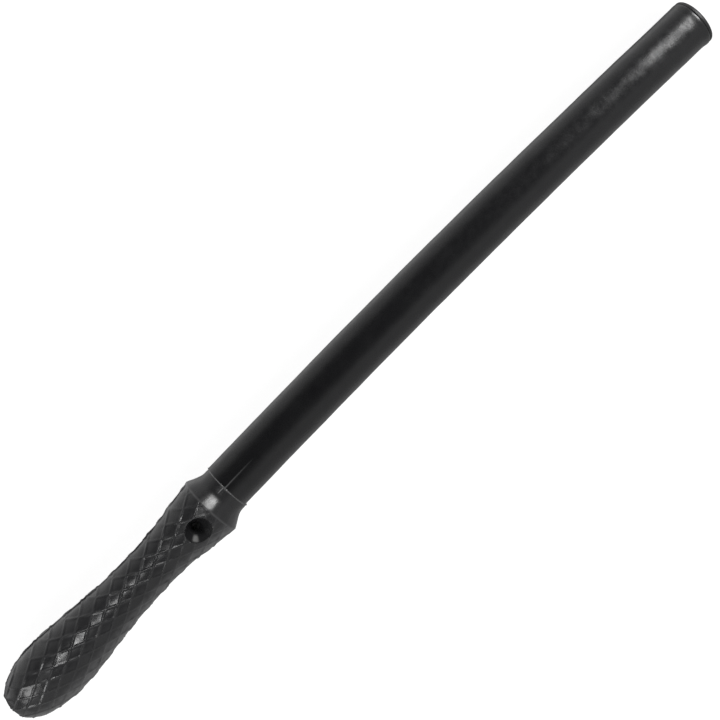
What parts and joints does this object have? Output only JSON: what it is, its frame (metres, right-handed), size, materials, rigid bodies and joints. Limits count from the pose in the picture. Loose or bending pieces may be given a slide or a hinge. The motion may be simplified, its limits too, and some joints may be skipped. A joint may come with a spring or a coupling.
{
  "type": "rubber baton",
  "caption": "Straight black rubber hand stick: ridged grip with a rounded pommel, flared guard and cross hole for a cord, and a long round shaft.",
  "frame": {"origin": "under the middle of the stick's box, on the plane that the pommel touches", "axes": "+X along the stick from pommel to tip, +Z along the cord hole, +Y across; the ends bow slightly towards -Y"},
  "size_m": [0.65, 0.047, 0.0456],
  "materials": {
    "grip_rubber": "satin",
    "shaft_rubber": "satin",
    "plug_rubber": "satin",
    "core_plastic": "satin",
    "bush_plastic": "satin"
  },
  "bodies": {
    "root": {"handle": "grip_rubber", "shaft_sleeve": "shaft_rubber", "tip_plug": "plug_rubber", "core_rod": "core_plastic", "cord_bush": "bush_plastic"}
  },
  "joints": []
}
